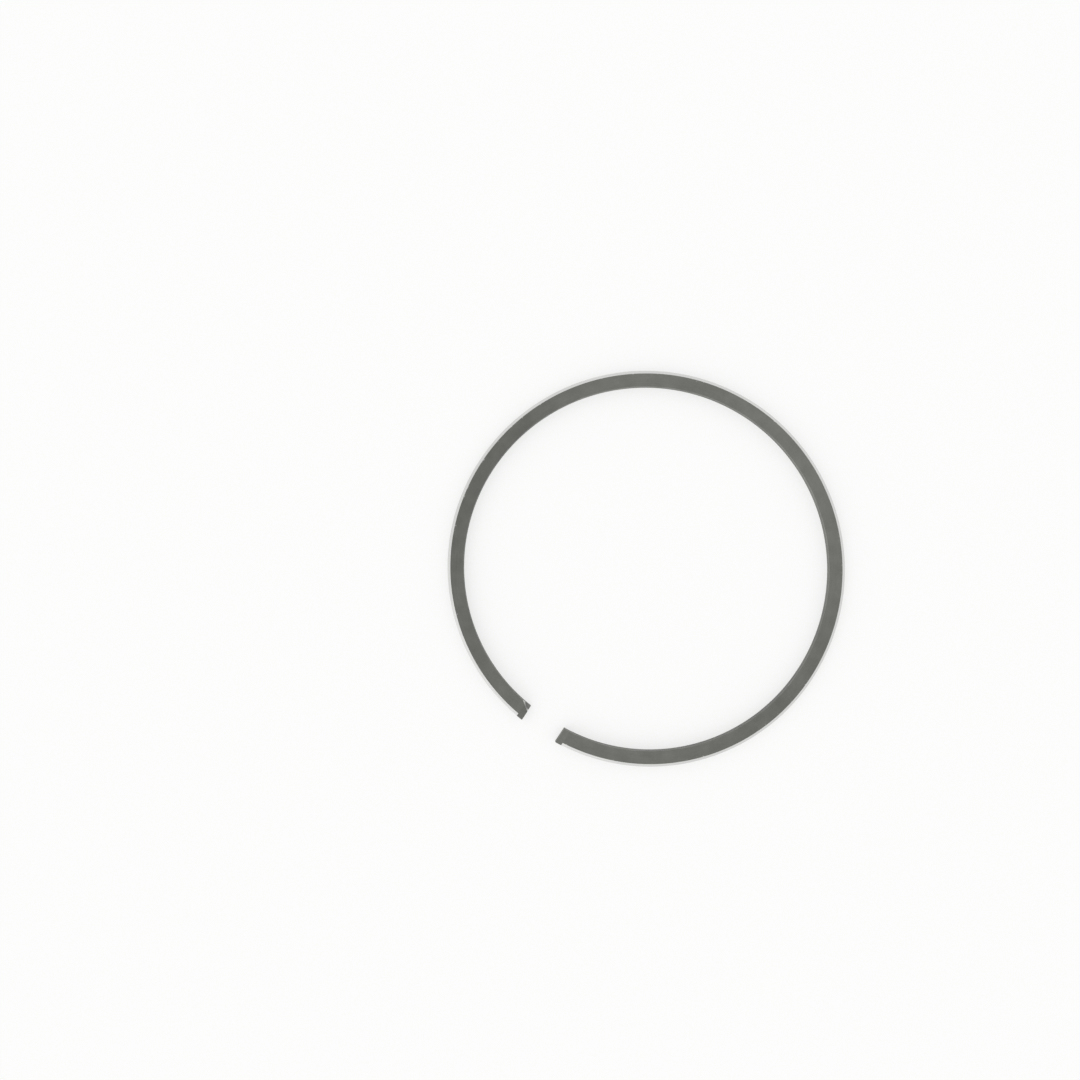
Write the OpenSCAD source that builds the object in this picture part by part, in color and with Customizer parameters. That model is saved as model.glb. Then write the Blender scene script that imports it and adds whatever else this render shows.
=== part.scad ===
// Piston ring, lying free on its plain face with the bevelled face up.
// The gap points to -Y, the back of the ring to +Y, and the bore's axis is Z.
// The origin is the middle of the ring's outline, on its lower face.

/* [Ring] */
// Diameter of the cylinder bore that the ring is made for
bore_d = 50; // [40:0.5:65]
// Radial thickness, from the running face to the inner face
radial_t = 2.1; // [1.6:0.05:2.8]
// Axial height, from the lower face to the upper face
axial_h = 1.5; // [1.2:0.05:2.5]
// Chamfer that takes the sharpness off the long edges
edge_break = 0.05; // [0.02:0.01:0.12]

/* [Joint] */
// Gap between the two ends while the ring lies free
free_gap = 5.2; // [3.5:0.1:8]
// Gap that is left once the bore has closed the ring
fitted_gap = 0.2; // [0.1:0.05:0.6]

/* [Bevel] */
// Radial width of the bevel on the upper outer edge
bevel_w = 0.38; // [0.2:0.02:0.7]
// Height of the bevel, down the running face
bevel_h = 0.4; // [0.2:0.02:0.7]
// Length at each end where the bevel stops and the section stays full
end_land = 0.85; // [0.5:0.05:2]

/* [Pin notch] */
// Length of the notch along the inner edge, from the end face
notch_l = 1.15; // [0.8:0.05:1.6]
// Width of the notch across the end face, from the inner edge
notch_w = 0.8; // [0.5:0.05:1.1]
// Depth of the notch, from the upper face
notch_depth = 0.7; // [0.3:0.05:0.9]
// How far the notch's wall leans in over that depth
notch_lean = 0.2; // [0.05:0.05:0.3]

/* [Hidden] */
$fn = 240;

// Clearance by which every cutter passes the faces that it cuts through
overcut = 1;

// The middle line of the closed ring is a circle of this radius
mean_r = (bore_d - radial_t) / 2;

// How strongly the ring springs open. A ring that presses evenly on its bore is straightest at its
// back, and its ends keep the closed curvature: radius = mean_r * (1 + spring * (1 + cos(turn)))
spring = (free_gap - fitted_gap) / (3 * PI * mean_r);

// Two arcs a side draw that outline: the half behind the X axis and the quarters in front of it each
// have the mean radius of their stretch, kept to whole microns as on a drawing
function micron(v) = round(v * 1000) / 1000;
quarter_mean_cos = 2 / PI;
back_r = micron(mean_r * (1 + spring * (1 + quarter_mean_cos)));
front_r = micron(mean_r * (1 + spring * (1 - quarter_mean_cos)));

// The arcs share a tangent where they meet on the X axis, so a front arc's centre lies to its side
front_x = back_r - front_r;

// Place, in Y, of a line at a given offset from the middle line, where it crosses x in the front half
function front_y(offset, x) = -sqrt(pow(front_r + offset, 2) - pow(x - front_x, 2));

// The outline reaches from the back of the running face to the outer corners of the two ends
outer = radial_t / 2;
inner = -radial_t / 2;
end_x = free_gap / 2;
outline_mid = micron((back_r + outer + front_y(outer, end_x)) / 2);

module front_arc() {
    translate([front_x, 0, 0])
        rotate_extrude(start = -90, angle = 90)
            translate([front_r, 0])
                children();
}

// Carries a section, drawn about the middle line, all the way round
module along_ring() {
    rotate_extrude(angle = 180)
        translate([back_r, 0])
            children();
    front_arc() children();
    mirror([1, 0, 0]) front_arc() children();
}

// Full section: a rectangle with its four corners broken
module full_section() {
    polygon([
        [inner + edge_break, 0],
        [outer - edge_break, 0],
        [outer, edge_break],
        [outer, axial_h - edge_break],
        [outer - edge_break, axial_h],
        [inner + edge_break, axial_h],
        [inner, axial_h - edge_break],
        [inner, edge_break],
    ]);
}

// What the bevel takes off: a triangle whose long side runs on past both edges of the bevel
module bevel_waste() {
    polygon([
        [outer - 2 * bevel_w, axial_h + bevel_h],
        [outer + bevel_w, axial_h - 2 * bevel_h],
        [outer + bevel_w, axial_h + bevel_h],
    ]);
}

// Block across the joint, as wide as given and open towards -Y
module joint_block(width) {
    near_y = front_y(inner, end_x + end_land) + overcut;
    far_y = front_y(outer, 0) - overcut;
    translate([-width / 2, far_y, -overcut])
        cube([width, near_y - far_y, axial_h + 2 * overcut]);
}

// Recess at the inner corner of the end on the -X side. Its straight wall leans in as it goes down,
// and runs on above the upper face at the same slope.
module notch_waste() {
    wall_l = norm([notch_l, notch_w]);
    floor_x = notch_w + notch_lean;
    translate([-end_x - notch_l, front_y(inner, end_x), 0])
        rotate([0, 0, atan2(notch_l, notch_w)])
            rotate([90, 0, 0])
                translate([0, 0, -overcut])
                    linear_extrude(wall_l + 2 * overcut)
                        polygon([
                            [-notch_lean, axial_h + notch_depth],
                            [notch_lean, axial_h - notch_depth],
                            [floor_x, axial_h - notch_depth],
                            [floor_x, axial_h + notch_depth],
                        ]);
}

module piston_ring() {
    color("dimgray")
        translate([0, -outline_mid, 0])
            difference() {
                along_ring() full_section();
                difference() {
                    along_ring() bevel_waste();
                    joint_block(free_gap + 2 * end_land);
                }
                joint_block(free_gap);
                notch_waste();
            }
}

piston_ring();
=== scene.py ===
# %% [markdown]
# # A piston ring
# A piston ring is a split ring of springy iron that seals a piston in its cylinder. Laid on a table it
# stands open by a few millimetres, and it is not quite round: it is straighter opposite the gap than near
# its ends, so that it presses evenly once the cylinder has closed it.
#
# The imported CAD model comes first. It is the fixed frame: it says where the ring lies and how large it is,
# and everything made below has to stay inside its box.

import math

import bmesh
import bpy
from mathutils import Matrix, Vector


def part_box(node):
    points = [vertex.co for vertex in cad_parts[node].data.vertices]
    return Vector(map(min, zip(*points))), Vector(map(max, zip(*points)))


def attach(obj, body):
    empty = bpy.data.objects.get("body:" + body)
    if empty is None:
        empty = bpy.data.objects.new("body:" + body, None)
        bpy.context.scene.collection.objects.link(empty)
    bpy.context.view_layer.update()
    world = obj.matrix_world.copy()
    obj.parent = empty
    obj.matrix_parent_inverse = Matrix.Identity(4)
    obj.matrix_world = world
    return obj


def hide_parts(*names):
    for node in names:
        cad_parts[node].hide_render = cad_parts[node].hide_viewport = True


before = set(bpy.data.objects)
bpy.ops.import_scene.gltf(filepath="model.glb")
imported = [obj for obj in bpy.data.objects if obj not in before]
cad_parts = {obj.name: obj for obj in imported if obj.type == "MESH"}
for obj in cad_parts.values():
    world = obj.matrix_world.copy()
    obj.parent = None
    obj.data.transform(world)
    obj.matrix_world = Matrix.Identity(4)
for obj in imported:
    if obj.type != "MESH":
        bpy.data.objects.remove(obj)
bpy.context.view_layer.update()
print("nodes in the frame:", len(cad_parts))

# %% [markdown]
# ## The sizes
# The drawing is in millimetres and the scene in metres. Blender's merging, cutting and rounding tools work
# best on shapes of about one unit, so the ring is drawn in millimetres and made small as its last step.
#
# The height comes from the frame. The real ring is made for a cylinder of 50 mm bore, and it is 2.1 mm thick
# from its outer face to its inner one.

# %% Sizes of the section
mm = 0.001
low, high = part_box("piston_ring")
bore_d = 50.0
radial_t = 2.1
axial_h = (high.z - low.z) / mm
print(f"section {radial_t:.2f} by {axial_h:.2f} mm, for a bore of {bore_d:.0f} mm")

# %% [markdown]
# ## The outline
# Seen from above, a half circle makes the back of the ring and a tighter quarter circle makes each side of
# the front. They share a tangent where they meet, on the X axis, so no kink shows in the reflections. How
# far the radii differ follows from how far the ring springs open: the gap is 5.2 mm wide while the ring lies
# free, and 0.2 mm in the cylinder.

# %% Radii of the back and the front
free_gap = 5.2
fitted_gap = 0.2

mean_r = (bore_d - radial_t) / 2
spring = (free_gap - fitted_gap) / (3 * math.pi * mean_r)
quarter_mean_cos = 2 / math.pi
back_r = mean_r * (1 + spring * (1 + quarter_mean_cos))
front_r = mean_r * (1 + spring * (1 - quarter_mean_cos))
front_x = back_r - front_r
print(f"back radius {back_r:.3f} mm, front radius {front_r:.3f} mm")

# %% Places of the ends and of the ring
outer = radial_t / 2
inner = -radial_t / 2
end_x = free_gap / 2


def end_y(offset):
    """Where a line at some offset from the ring's middle line reaches the end of the ring."""
    return -math.sqrt((front_r + offset) ** 2 - (end_x - front_x) ** 2)


ring_y = -(back_r + outer + end_y(outer)) / 2
print(f"the arcs' centres lie at y = {ring_y:.3f} mm")
print(f"outline off the frame by {abs(back_r + outer - high.x / mm):.4f} mm in width")

# %% [markdown]
# ## The sections
# A section is drawn as a flat face with a few corners. Bevelling its vertices rounds the corners that are
# only broken for handling, and leaves the two ground corners of the bevel crisp. At the ends of the ring
# the bevel stops and the section is full. That section keeps the bevel's two corners as points on its
# straight sides, so that both kinds of section can later be joined point to point.

# %% Corners of the two sections
bevel_w = 0.38
bevel_h = 0.4
bevel_foot = (outer, axial_h - bevel_h)
bevel_top = (outer - bevel_w, axial_h)

bevelled_corners = {
    (inner, 0.0): "round",
    (outer, 0.0): "round",
    bevel_foot: "crisp",
    bevel_top: "crisp",
    (inner, axial_h): "round",
}
full_corners = {
    (inner, 0.0): "round",
    (outer, 0.0): "round",
    bevel_foot: "crisp",
    (outer, axial_h): "round",
    bevel_top: "crisp",
    (inner, axial_h): "round",
}
print(f"bevel {bevel_w:.2f} by {bevel_h:.2f} mm")

# %% Draw a section across the X axis
edge_round = 0.05
edge_segments = 3


def draw_section(corners):
    """A new bmesh that holds the section's edges, standing on the X axis."""
    bm = bmesh.new()
    verts = {corner: bm.verts.new((back_r + corner[0], 0.0, corner[1])) for corner in corners}
    bm.faces.new(verts.values())
    rounded = [verts[corner] for corner, kind in corners.items() if kind == "round"]
    bmesh.ops.bevel(
        bm,
        geom=rounded,
        offset=edge_round,
        offset_type="OFFSET",
        segments=edge_segments,
        profile=0.5,
        affect="VERTICES",
        material=-1,
    )
    bmesh.ops.delete(bm, geom=bm.faces[:], context="FACES_ONLY")
    return bm


print(f"long edges rounded by {edge_round:.2f} mm")

# %% [markdown]
# ## Sweeping the section
# A lathe would turn the whole ring at once, but this outline has three arcs. A spin carries the section
# through a quarter turn about the centre of its arc. The front is swept twice, once with each section, and
# cut at the plane where the bevel stops, 0.85 mm short of the end. The step count is chosen so that no step
# falls on the planes of the cuts, because a cut right beside an edge leaves slivers.

# %% Sweep a quarter, and cut it at a plane
quarter_turn = math.pi / 2
quarter_steps = 88


def sweep_quarter(corners, centre_x, angle):
    """Spins a section through an angle about an upright axis at centre_x."""
    bm = draw_section(corners)
    bmesh.ops.spin(
        bm,
        geom=bm.verts[:] + bm.edges[:],
        cent=(centre_x, 0.0, 0.0),
        axis=(0.0, 0.0, 1.0),
        angle=angle,
        steps=quarter_steps,
    )
    return bm


def cut_across(bm, x, keep):
    """Cuts a swept quarter at a plane across X and keeps the part beyond or within it."""
    bmesh.ops.bisect_plane(
        bm,
        geom=bm.verts[:] + bm.edges[:] + bm.faces[:],
        plane_co=(x, 0.0, 0.0),
        plane_no=(1.0, 0.0, 0.0),
        clear_inner=keep == "beyond",
        clear_outer=keep == "within",
    )


# %% Sweep the back, the front and the land at the end
end_land = 0.85
land_x = end_x + end_land

back = sweep_quarter(bevelled_corners, 0.0, quarter_turn)
front = sweep_quarter(bevelled_corners, front_x, -quarter_turn)
cut_across(front, land_x, "beyond")
land = sweep_quarter(full_corners, front_x, -quarter_turn)
cut_across(land, land_x, "within")
cut_across(land, end_x, "beyond")
print("faces swept:", len(back.faces), "back,", len(front.faces), "front,", len(land.faces), "land")

# %% [markdown]
# ## Joining one side
# The three stretches are put into one bmesh and their touching points are merged. Two openings are left:
# the little shoulder where the bevel stops, and the end of the ring. Each is closed with one face. The
# end's rim is then rounded a little, as on the real ring, where the saw's burr has been taken off.

# %% Join the three stretches
merge_within = 0.002

ring = bmesh.new()
for stretch in (back, front, land):
    carrier = bpy.data.meshes.new("stretch")
    stretch.to_mesh(carrier)
    ring.from_mesh(carrier)
    stretch.free()
    bpy.data.meshes.remove(carrier)
bmesh.ops.remove_doubles(ring, verts=ring.verts[:], dist=merge_within)
print("faces on one side:", len(ring.faces))

# %% Close the shoulder and the end
end_round = 0.03
end_segments = 2


def open_edges_at(bm, x):
    """The edges of an opening that lie in a plane across X, on the gap's side of the ring."""
    return [
        edge
        for edge in bm.edges
        if edge.is_boundary and all(abs(v.co.x - x) < merge_within and v.co.y < 0 for v in edge.verts)
    ]


shoulder_rim = open_edges_at(ring, land_x)
bmesh.ops.contextual_create(ring, geom=shoulder_rim)
end_rim = open_edges_at(ring, end_x)
bmesh.ops.contextual_create(ring, geom=end_rim)
bmesh.ops.bevel(
    ring,
    geom=end_rim,
    offset=end_round,
    offset_type="OFFSET",
    segments=end_segments,
    profile=0.5,
    affect="EDGES",
    material=-1,
)
print("shoulder has", len(shoulder_rim), "edges, end has", len(end_rim))

# %% [markdown]
# ## The other side
# The ring is the same on both sides of the gap, apart from the notch, so the finished side is mirrored.
# A mirror turns faces inside out, so the normals are recalculated once the seam has been merged. Then the
# whole ring moves to its place in the frame.

# %% Mirror the side and move the ring into the frame
bmesh.ops.mirror(
    ring,
    geom=ring.verts[:] + ring.edges[:] + ring.faces[:],
    matrix=Matrix.Identity(4),
    merge_dist=merge_within,
    axis="X",
)
bmesh.ops.remove_doubles(ring, verts=ring.verts[:], dist=merge_within)
bmesh.ops.recalc_face_normals(ring, faces=ring.faces[:])
bmesh.ops.translate(ring, vec=(0.0, ring_y, 0.0), verts=ring.verts[:])
print("open edges left:", sum(edge.is_boundary for edge in ring.edges))

# %% [markdown]
# ## The pin notch
# A pin in the piston's groove stops the ring from creeping round, and it sits in a small notch at one end.
# On the real ring a cutter takes the inner corner off. The same is done here: a wedge with one leaning side
# is drawn as a face, extruded, turned along the notch, and subtracted with a Boolean.

# %% Draw the cutter
notch_l = 1.15
notch_w = 0.8
notch_depth = 0.7
notch_lean = 0.2
overcut = 1.0

floor_z = axial_h - notch_depth
above_z = axial_h + notch_depth
wall_l = math.hypot(notch_l, notch_w)
far_side = notch_w + notch_lean
wedge_corners = (
    (-notch_lean, above_z),
    (notch_lean, floor_z),
    (far_side, floor_z),
    (far_side, above_z),
)

cutter = bmesh.new()
wedge = cutter.faces.new([cutter.verts.new((side, overcut, z)) for side, z in wedge_corners])
pulled = bmesh.ops.extrude_face_region(cutter, geom=[wedge])
pulled_verts = [item for item in pulled["geom"] if isinstance(item, bmesh.types.BMVert)]
bmesh.ops.translate(cutter, vec=(0.0, -(wall_l + 2 * overcut), 0.0), verts=pulled_verts)
print(f"notch wall {wall_l:.2f} mm long, floor at z = {floor_z:.2f} mm")

# %% Turn the cutter along the notch
notch_turn = math.atan2(notch_l, notch_w)
notch_start = (-end_x - notch_l, ring_y + end_y(inner), 0.0)

bmesh.ops.rotate(
    cutter,
    cent=(0.0, 0.0, 0.0),
    matrix=Matrix.Rotation(notch_turn, 3, "Z"),
    verts=cutter.verts[:],
)
bmesh.ops.translate(cutter, vec=notch_start, verts=cutter.verts[:])
bmesh.ops.recalc_face_normals(cutter, faces=cutter.faces[:])
print(f"cutter turned by {math.degrees(notch_turn):.1f} degrees")


# %% Cut the notch
def to_object(bm, name):
    """Turns a bmesh into an object in the scene."""
    mesh = bpy.data.meshes.new(name)
    bm.to_mesh(mesh)
    bm.free()
    made = bpy.data.objects.new(name, mesh)
    bpy.context.scene.collection.objects.link(made)
    return made


ring_object = to_object(ring, "ring_body")
cutter_object = to_object(cutter, "notch_cutter")
subtract = ring_object.modifiers.new("pin_notch", "BOOLEAN")
subtract.operation = "DIFFERENCE"
subtract.solver = "EXACT"
subtract.object = cutter_object
evaluated = ring_object.evaluated_get(bpy.context.evaluated_depsgraph_get())
notched = bmesh.new()
notched.from_mesh(evaluated.to_mesh())
ring_object.modifiers.clear()
bpy.data.objects.remove(cutter_object)
print("faces after the cut:", len(notched.faces))

# %% [markdown]
# ## Which face has which finish
# The ring is dark all over from its phosphate coating, apart from what is finished or cut afterwards: the
# running face that slides on the cylinder, the bevel and its two shoulders, and the notch's wall. Along the
# broken edges and on the notch's floor the coating is rubbed thin. A face's own direction and place tell
# which it is, so nothing has to be picked by hand.

# %% Tell a face's finish
finishes = ("phosphated", "rubbed", "lapped", "ground", "milled")
straight = 0.99
mainly = 0.9
sloping = 0.5
slightly = 0.1


def finish_of(face):
    """The finish of a face of the ring, from its direction and its place in millimetres."""
    centre = face.calc_center_median()
    outward = face.normal.dot(Vector((centre.x, centre.y, 0.0)).normalized())
    upward = face.normal.z
    at_joint = centre.y < 0 and abs(centre.x) < land_x + merge_within
    shoulder = at_joint and abs(centre.x) > land_x - merge_within and abs(face.normal.x) > straight
    bevel = outward > sloping and upward > sloping and not at_joint
    near_notch = centre.y < 0 and -end_x - 2 * notch_l < centre.x < -end_x
    in_notch = near_notch and centre.z > floor_z - merge_within
    notch_wall = in_notch and face.normal.x > sloping and face.normal.y > sloping
    notch_floor = in_notch and upward > straight and centre.z < axial_h - merge_within
    rounded_edge = slightly < abs(upward) < straight
    if outward > mainly:
        return "lapped"
    if shoulder or bevel:
        return "ground"
    if notch_wall:
        return "milled"
    if rounded_edge or notch_floor:
        return "rubbed"
    return "phosphated"


# %% Sort the faces and make the ring its real size
for face in notched.faces:
    face.material_index = finishes.index(finish_of(face))
    face.smooth = True
bmesh.ops.scale(notched, vec=(mm, mm, mm), verts=notched.verts[:])
notched.to_mesh(ring_object.data)
notched.free()
counts = [sum(p.material_index == i for p in ring_object.data.polygons) for i in range(len(finishes))]
print("faces by finish:", dict(zip(finishes, counts)))

# %% [markdown]
# ## Shading the edges
# Smooth shading alone would smear the flat faces into their rounded edges. Edges sharper than the rounding's
# own steps are marked sharp, and a Weighted Normal modifier lets each large face keep its true direction.

# %% Mark the sharp edges and weight the normals
sharpest_smooth = math.radians(35)
ring_object.data.set_sharp_from_angle(angle=sharpest_smooth)
weighted = ring_object.modifiers.new("flat_faces", "WEIGHTED_NORMAL")
weighted.keep_sharp = True
print("triangles:", sum(len(p.vertices) - 2 for p in ring_object.data.polygons))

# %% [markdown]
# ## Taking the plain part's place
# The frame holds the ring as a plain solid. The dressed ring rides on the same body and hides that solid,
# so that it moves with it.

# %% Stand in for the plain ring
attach(ring_object, "root")
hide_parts("piston_ring")
print(ring_object.name, "stands for piston_ring")

# %% [markdown]
# ## Coordinates for the finishes
# Marks from turning, grinding and lapping run along the ring. The patterns therefore need coordinates that
# follow it: how far along, how far across from the middle line, and how high, all in millimetres. They are
# worked out in nodes from the Object coordinates, with the same arcs as the outline. The angle is taken
# from the +Y axis, so that the place where it jumps is in the gap, where there is no metal.


# %% Place on the object
def feed(tree, socket, value):
    """Links a socket to another one, or sets it to a plain value."""
    if isinstance(value, bpy.types.NodeSocket):
        tree.links.new(value, socket)
    else:
        socket.default_value = value


def place_in_mm(tree, stretch=(1.0, 1.0, 1.0), shift=(0.0, 0.0, 0.0)):
    """The place on the object in millimetres, times a stretch and moved by a shift."""
    source = tree.nodes.new("ShaderNodeTexCoord")
    mapping = tree.nodes.new("ShaderNodeMapping")
    feed(tree, mapping.inputs["Vector"], source.outputs["Object"])
    mapping.inputs["Scale"].default_value = [factor / mm for factor in stretch]
    mapping.inputs["Location"].default_value = shift
    return mapping.outputs["Vector"]


# %% Place along the ring
def add_math(tree, operation, *values):
    """Adds a Math node and gives its result."""
    made = tree.nodes.new("ShaderNodeMath")
    made.operation = operation
    for socket, value in zip(made.inputs, values):
        feed(tree, socket, value)
    return made.outputs["Value"]


def ring_axes(tree):
    """Millimetres along the ring, across it from its middle line, and up."""
    split = tree.nodes.new("ShaderNodeSeparateXYZ")
    feed(tree, split.inputs["Vector"], place_in_mm(tree))
    x, y, up = split.outputs
    y = add_math(tree, "SUBTRACT", y, ring_y)
    shift = add_math(tree, "MULTIPLY", add_math(tree, "LESS_THAN", y, 0.0), front_x)
    side = add_math(tree, "SUBTRACT", add_math(tree, "ABSOLUTE", x), shift)
    squares = [add_math(tree, "MULTIPLY", value, value) for value in (side, y)]
    radius = add_math(tree, "SQRT", add_math(tree, "ADD", *squares))
    along = add_math(tree, "MULTIPLY", add_math(tree, "ARCTAN2", x, y), mean_r)
    across = add_math(tree, "SUBTRACT", add_math(tree, "ADD", radius, shift), back_r)
    return along, across, up


def ring_vector(tree, stretch):
    """The three axes along the ring as one vector, each times its stretch."""
    joined = tree.nodes.new("ShaderNodeCombineXYZ")
    for socket, axis, factor in zip(joined.inputs, ring_axes(tree), stretch):
        feed(tree, socket, add_math(tree, "MULTIPLY", axis, factor))
    return joined.outputs["Vector"]


# %% [markdown]
# ## Phosphated iron
# The coating is a thin layer of fine crystals that holds oil and looks graphite grey, without any gleam. Up
# close it has a grain, faint clouds where it took unevenly, and the marks of the grinding wheel under it.
# Beside the bevel a few nicks go through it to the bright metal.
#
# Its shade also drifts a little round the ring: it is palest at the back, and the short lands at the two
# ends each have a shade of their own. A colour ramp along the ring could do that, but would show as bands.
# A very broad noise looks more natural, and a shift brings one of its pale parts to the back. That pale
# back is painted light, standing in for light falling more brightly on that side, and the side opposite
# is painted a shade darker; the rest of the noise is a random shade of the coating. All these patterns are
# added up to one shade, which blends a dark and a light colour of the coating.


# %% Helpers for patterns
def add_noise(tree, vector, scale, detail):
    """Adds a noise of a given scale along a vector."""
    made = tree.nodes.new("ShaderNodeTexNoise")
    feed(tree, made.inputs["Vector"], vector)
    made.inputs["Scale"].default_value = scale
    made.inputs["Detail"].default_value = detail
    return made.outputs["Fac"]


def add_range(tree, value, from_range, to_range=(0.0, 1.0)):
    """Carries a value over from one range to another, and holds it inside the second."""
    made = tree.nodes.new("ShaderNodeMapRange")
    feed(tree, made.inputs["Value"], value)
    made.inputs["From Min"].default_value, made.inputs["From Max"].default_value = from_range
    made.inputs["To Min"].default_value, made.inputs["To Max"].default_value = to_range
    return made.outputs["Result"]


def add_up(tree, parts):
    """The sum of values, each times its share."""
    total = 0.0
    for value, share in parts:
        total = add_math(tree, "MULTIPLY_ADD", value, share, total)
    return total


# %% Shade of the coating
patch_scale = 0.03
cloud_scale = 0.5
grain_scale = 9.0
grinding_stretch = (0.25, 14.0, 14.0)
# painted light: this shift puts the broad noise's pale part at the back of the ring, and a darker part
# opposite
painted_light_at_back = (265.0, 602.0, 721.0)
land_start = mean_r * (math.pi - math.asin(land_x / mean_r))
land_fade = 0.1
shade_range = (0.77, 1.37)


def coat_grain(tree):
    """The fine crystals of the coating."""
    return add_noise(tree, place_in_mm(tree), grain_scale, detail=2.0)


def coat_shade_and_painted_light(tree, grain):
    """The coating's shade from 0 to 1: patches that also hold painted light, lands, clouds, grain and
    grinding marks together.
    """
    patches = add_noise(tree, place_in_mm(tree, shift=painted_light_at_back), patch_scale, detail=1.0)
    along = ring_axes(tree)[0]
    pale_land = add_range(tree, along, (land_start - land_fade, land_start + land_fade))
    dark_land = add_range(tree, along, (-land_start - land_fade, -land_start + land_fade), (1.0, 0.0))
    clouds = add_noise(tree, place_in_mm(tree), cloud_scale, detail=3.0)
    grinding = add_noise(tree, ring_vector(tree, grinding_stretch), scale=1.0, detail=2.0)
    # the patches are partly a random shade of the coating and partly painted light, pale at the back
    broad = ((patches, 0.95), (pale_land, 0.1), (dark_land, -0.12))
    fine = ((clouds, 0.5), (grain, 0.4), (grinding, 0.3))
    return add_range(tree, add_up(tree, broad + fine), shade_range)


print(f"each land starts {land_start:.2f} mm along from the back")

# %% Nicks beside the bevel
nick_scale = 3.4
nick_range = (0.75, 0.79)
nick_most_bare = 0.7
bevel_edge = outer - bevel_w
nick_strip = (bevel_edge - 0.25, bevel_edge - 0.05)


def nick_pattern(tree):
    """How far the nicks go through the coating: a few specks in a strip beside the bevel."""
    along, across, _ = ring_axes(tree)
    noise = add_noise(tree, place_in_mm(tree), nick_scale, detail=0.0)
    specks = add_range(tree, noise, nick_range, (0.0, nick_most_bare))
    beside_bevel = add_range(tree, across, nick_strip)
    off_lands = add_math(tree, "LESS_THAN", add_math(tree, "ABSOLUTE", along), land_start)
    return add_math(tree, "MULTIPLY", add_math(tree, "MULTIPLY", specks, beside_bevel), off_lands)


print(f"nicks from {nick_strip[0]:.2f} mm outside the middle line to the bevel")


# %% Helpers for colour, relief and a new finish
def add_blend(tree, amount, first, second):
    """Blends two colours, given as colours or as sockets."""
    made = tree.nodes.new("ShaderNodeMix")
    made.data_type = "RGBA"
    feed(tree, made.inputs["Factor"], amount)
    for socket, colour in zip((made.inputs["A"], made.inputs["B"]), (first, second)):
        feed(tree, socket, (*colour, 1.0) if isinstance(colour, tuple) else colour)
    return made.outputs["Result"]


def add_bump(tree, height, depth):
    """Gives a pattern a relief as deep as the given millimetres."""
    made = tree.nodes.new("ShaderNodeBump")
    feed(tree, made.inputs["Height"], height)
    made.inputs["Distance"].default_value = depth * mm
    return made.outputs["Normal"]


def new_material(name):
    """A node material, with its tree and its Principled shader."""
    material = bpy.data.materials.new(name)
    material.use_nodes = True
    return material, material.node_tree, material.node_tree.nodes["Principled BSDF"]


def dress_ring(material):
    """Gives the ring its next finish. They come in the order in which the faces were sorted."""
    ring_object.data.materials.append(material)
    print(material.name, "has", len(material.node_tree.nodes), "nodes")


# %% Make the phosphated finish
coat_dark = (0.085, 0.087, 0.078)
coat_light = (0.165, 0.167, 0.151)
bare_iron = (0.52, 0.52, 0.51)
grain_range = (0.3, 0.7)
coat_roughness = (0.52, 0.66)

phosphated, tree, shader = new_material("phosphated_iron")
grain = coat_grain(tree)
coat = add_blend(tree, coat_shade_and_painted_light(tree, grain), coat_dark, coat_light)
feed(tree, shader.inputs["Base Color"], add_blend(tree, nick_pattern(tree), coat, bare_iron))
feed(tree, shader.inputs["Roughness"], add_range(tree, grain, grain_range, coat_roughness))
feed(tree, shader.inputs["Normal"], add_bump(tree, grain, depth=0.008))
dress_ring(phosphated)

# %% [markdown]
# ## Rubbed edges
# Where the ring is handled and slides in its packing, the coating wears off its edges first. The rounded
# strips therefore change between coating and bare iron in patches a few millimetres long. The notch's floor,
# where the pin rubs, has the same finish.

# %% Make the rubbed finish
wear_stretch = (0.5, 3.0, 3.0)
wear_range = (0.3, 0.75)
wear = (0.0, 0.35)
wear_roughness = (0.58, 0.45)

rubbed, tree, shader = new_material("rubbed_edge")
grain = coat_grain(tree)
coat = add_blend(tree, coat_shade_and_painted_light(tree, grain), coat_dark, coat_light)
patches = add_noise(tree, ring_vector(tree, wear_stretch), scale=1.0, detail=4.0)
worn = add_range(tree, patches, wear_range, wear)
feed(tree, shader.inputs["Base Color"], add_blend(tree, worn, coat, bare_iron))
feed(tree, shader.inputs["Metallic"], worn)
feed(tree, shader.inputs["Roughness"], add_range(tree, worn, wear, wear_roughness))
feed(tree, shader.inputs["Normal"], add_bump(tree, grain, depth=0.003))
dress_ring(rubbed)

# %% [markdown]
# ## Lapped iron
# The running face is lapped in a sleeve until it fits the cylinder all round. It is bare grey iron with a
# soft gleam, and the fine lines left by turning and lapping run along it: a noise that is stretched about
# a hundred times. The other bare faces differ only in their marks, colours and roughness, so one helper
# serves all three.

# %% Make the lapped finish
mark_range = (0.3, 0.7)


def show_marks(tree, shader, marks, dark, light, roughness, depth):
    """Bare metal whose tool marks vary its colour, its roughness and its relief."""
    shader.inputs["Metallic"].default_value = 1.0
    shade = add_range(tree, marks, mark_range)
    feed(tree, shader.inputs["Base Color"], add_blend(tree, shade, dark, light))
    feed(tree, shader.inputs["Roughness"], add_range(tree, marks, mark_range, roughness))
    feed(tree, shader.inputs["Normal"], add_bump(tree, marks, depth))


lapped_dark = (0.44, 0.44, 0.43)
lapped_light = (0.58, 0.58, 0.57)
lapping_stretch = (0.3, 30.0, 30.0)

lapped, tree, shader = new_material("lapped_iron")
lines = add_noise(tree, ring_vector(tree, lapping_stretch), scale=1.0, detail=3.0)
show_marks(tree, shader, lines, lapped_dark, lapped_light, roughness=(0.24, 0.36), depth=0.002)
dress_ring(lapped)

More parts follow.
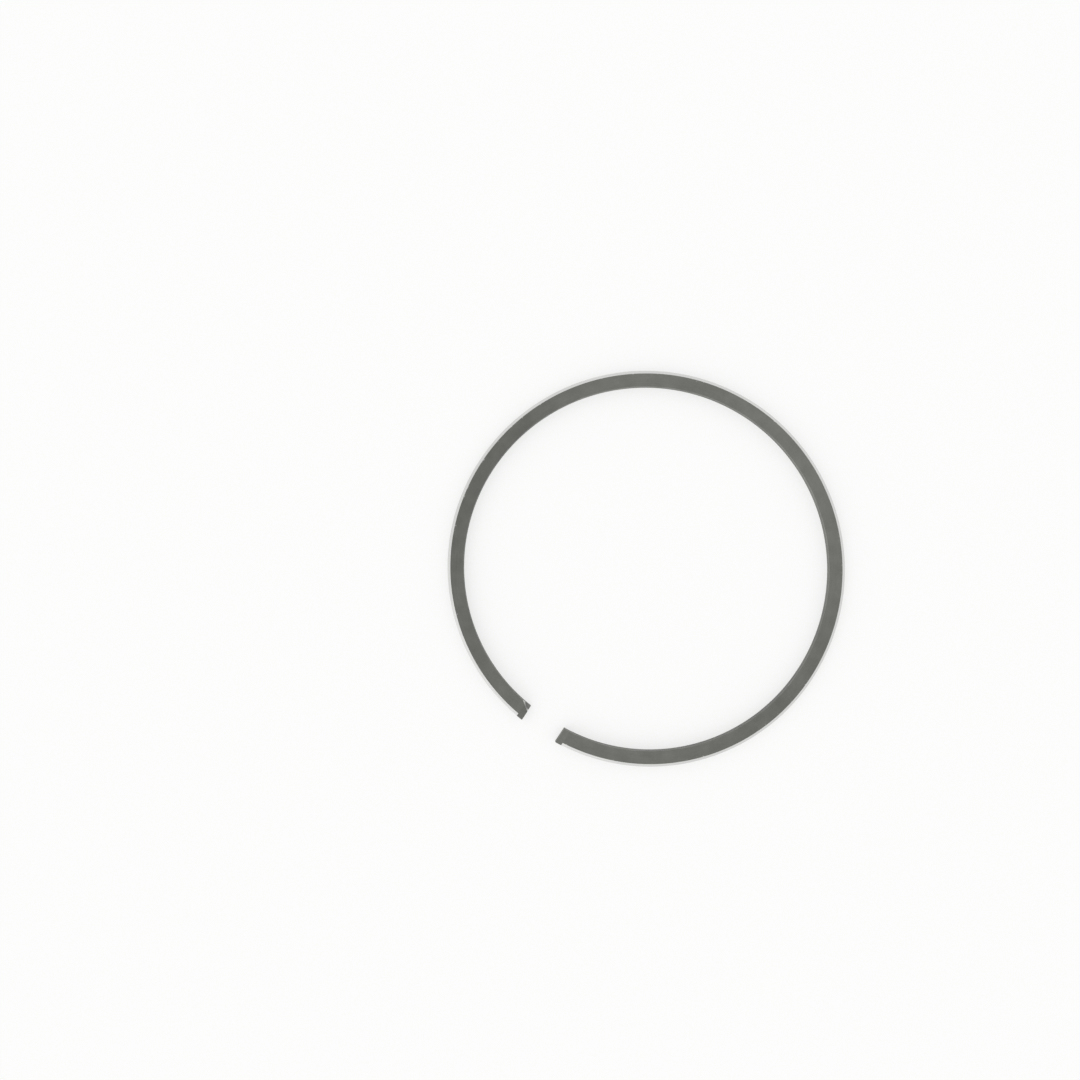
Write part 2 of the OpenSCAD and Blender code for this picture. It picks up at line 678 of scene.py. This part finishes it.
# %% [markdown]
# ## Ground bevel
# The bevel is ground last, with a fine wheel, and is the brightest face of the ring. From above it reflects
# whatever lies beside the ring, which is why it looks nearly white on a pale sheet.

# %% Make the ground finish
ground_dark = (0.63, 0.63, 0.62)
ground_light = (0.73, 0.73, 0.72)
wheel_stretch = (0.4, 22.0, 22.0)

ground, tree, shader = new_material("ground_bevel")
lines = add_noise(tree, ring_vector(tree, wheel_stretch), scale=1.0, detail=2.0)
show_marks(tree, shader, lines, ground_dark, ground_light, roughness=(0.36, 0.48), depth=0.001)
dress_ring(ground)

# %% [markdown]
# ## Milled iron
# The notch's wall is cut by a small milling tool. It is bare like the lapped face, but rougher, with upright
# tool marks.

# %% Make the milled finish
milled_dark = (0.42, 0.42, 0.41)
milled_light = (0.54, 0.54, 0.53)
milling_stretch = (12.0, 12.0, 1.5)

milled, tree, shader = new_material("milled_iron")
marks = add_noise(tree, place_in_mm(tree, milling_stretch), scale=1.0, detail=2.0)
show_marks(tree, shader, marks, milled_dark, milled_light, roughness=(0.3, 0.44), depth=0.002)
dress_ring(milled)

# %% [markdown]
# ## The floor
# The ring lies on a plain pale sheet, lit so evenly that only a faint shadow shows. Part of what the camera
# and the bright metal see of the sheet is its own colour, and the rest is the sheet as the light falls on
# it, shadow included. Towards its rim the sheet is all its own colour, so that it runs into the room without
# an edge.

# %% Lay the floor
floor_r = 1.5

floor_bm = bmesh.new()
bmesh.ops.create_circle(floor_bm, cap_ends=True, segments=96, radius=floor_r)
floor = to_object(floor_bm, "floor")
print(f"floor {2 * floor_r:.1f} m across")


# %% Make the paper
def seen_directly(tree):
    """1 for what the camera sees, straight or in a gleam, and 0 for light on its way round."""
    rays = tree.nodes.new("ShaderNodeLightPath")
    seen = add_math(tree, "MAXIMUM", rays.outputs["Is Camera Ray"], rays.outputs["Is Glossy Ray"])
    return add_math(tree, "MAXIMUM", seen, rays.outputs["Is Transmission Ray"])


paper_colour = (0.974, 0.981, 0.971)
own_colour_share = 0.65
fade = (0.1 * floor_r / mm, 0.8 * floor_r / mm)

paper, tree, shader = new_material("pale_paper")
shader.inputs["Base Color"].default_value = (*paper_colour, 1.0)
shader.inputs["Roughness"].default_value = 0.9
shader.inputs["Specular IOR Level"].default_value = 0.0
plain = tree.nodes.new("ShaderNodeEmission")
plain.inputs["Color"].default_value = (*paper_colour, 1.0)
from_middle = tree.nodes.new("ShaderNodeVectorMath")
from_middle.operation = "LENGTH"
feed(tree, from_middle.inputs[0], place_in_mm(tree))
own_colour = add_range(tree, from_middle.outputs["Value"], fade, (own_colour_share, 1.0))

mixed = tree.nodes.new("ShaderNodeMixShader")
feed(tree, mixed.inputs["Fac"], add_math(tree, "MULTIPLY", seen_directly(tree), own_colour))
feed(tree, mixed.inputs[1], shader.outputs["BSDF"])
feed(tree, mixed.inputs[2], plain.outputs["Emission"])
feed(tree, tree.nodes["Material Output"].inputs["Surface"], mixed.outputs["Shader"])
floor.data.materials.append(paper)
print(f"the paper keeps {own_colour_share:.0%} of its own colour beside the ring")

# %% [markdown]
# ## The light
# Most of the light comes evenly from all round. A large soft lamp on the side where the gap is gives the
# ring its faint shadow, and it stands so far off that it lights the whole floor alike. A small lamp would
# leave a hard white glare on the bevel. The lamp's power follows from its share of the light on the floor,
# and the two shares add up to one, so that a colour renders about as it is written. The camera and the
# bright metal see the room in the paper's own colour, so that no line shows at the floor's rim.

# %% Set the room
lamp_share = 0.075
world_share = 1.0 - lamp_share
room_light = (world_share, world_share, world_share)

scene = bpy.context.scene
scene.view_settings.view_transform = "Standard"
world = bpy.data.worlds.new("white_room")
world.use_nodes = True
scene.world = world

tree = world.node_tree
room_colour = add_blend(tree, seen_directly(tree), room_light, paper_colour)
feed(tree, tree.nodes["Background"].inputs["Color"], room_colour)
print(f"{world_share:.1%} of the light comes from the room")

# %% Set the lamp
lamp_distance = 8.0
lamp_r = 7.0
lamp_height = math.radians(26)
lamp_side = math.radians(-101)
lamp_turn = Matrix.Rotation(lamp_side, 3, "Z") @ Matrix.Rotation(-lamp_height, 3, "Y")
toward_lamp = lamp_turn @ Vector((1.0, 0.0, 0.0))

lamp = bpy.data.lights.new("soft_lamp", "AREA")
lamp.shape = "DISK"
lamp.size = 2 * lamp_r
lamp.energy = lamp_share * math.pi**2 * (lamp_distance**2 + lamp_r**2) / math.sin(lamp_height)
lamp_object = bpy.data.objects.new("soft_lamp", lamp)
lamp_object.location = lamp_distance * toward_lamp
lamp_object.rotation_euler = toward_lamp.to_track_quat("Z", "Y").to_euler()
scene.collection.objects.link(lamp_object)
print(f"lamp {lamp.energy:.1f} W at", tuple(round(v, 2) for v in lamp_object.location))

# %% [markdown]
# ## The camera
# The photograph was taken from straight above, with the ring a little right of the middle and its gap
# towards the lower left. The camera looks down and is turned about the upright axis.

# %% Set the camera
camera_height = 0.196
camera_turn = math.radians(33.7)
camera_place = (-0.01359, -0.00477)
image_px = 1080

camera = bpy.data.cameras.new("camera")
camera.lens = 50.0
camera.sensor_width = 36.0
camera.clip_start = 0.01
camera_object = bpy.data.objects.new("camera", camera)
camera_object.location = (*camera_place, camera_height)
camera_object.rotation_euler = (0.0, 0.0, camera_turn)
scene.collection.objects.link(camera_object)
scene.camera = camera_object
mm_px = camera.lens / camera.sensor_width * image_px * mm / camera_height
print(f"a millimetre on the floor is {mm_px:.2f} px of {image_px}")
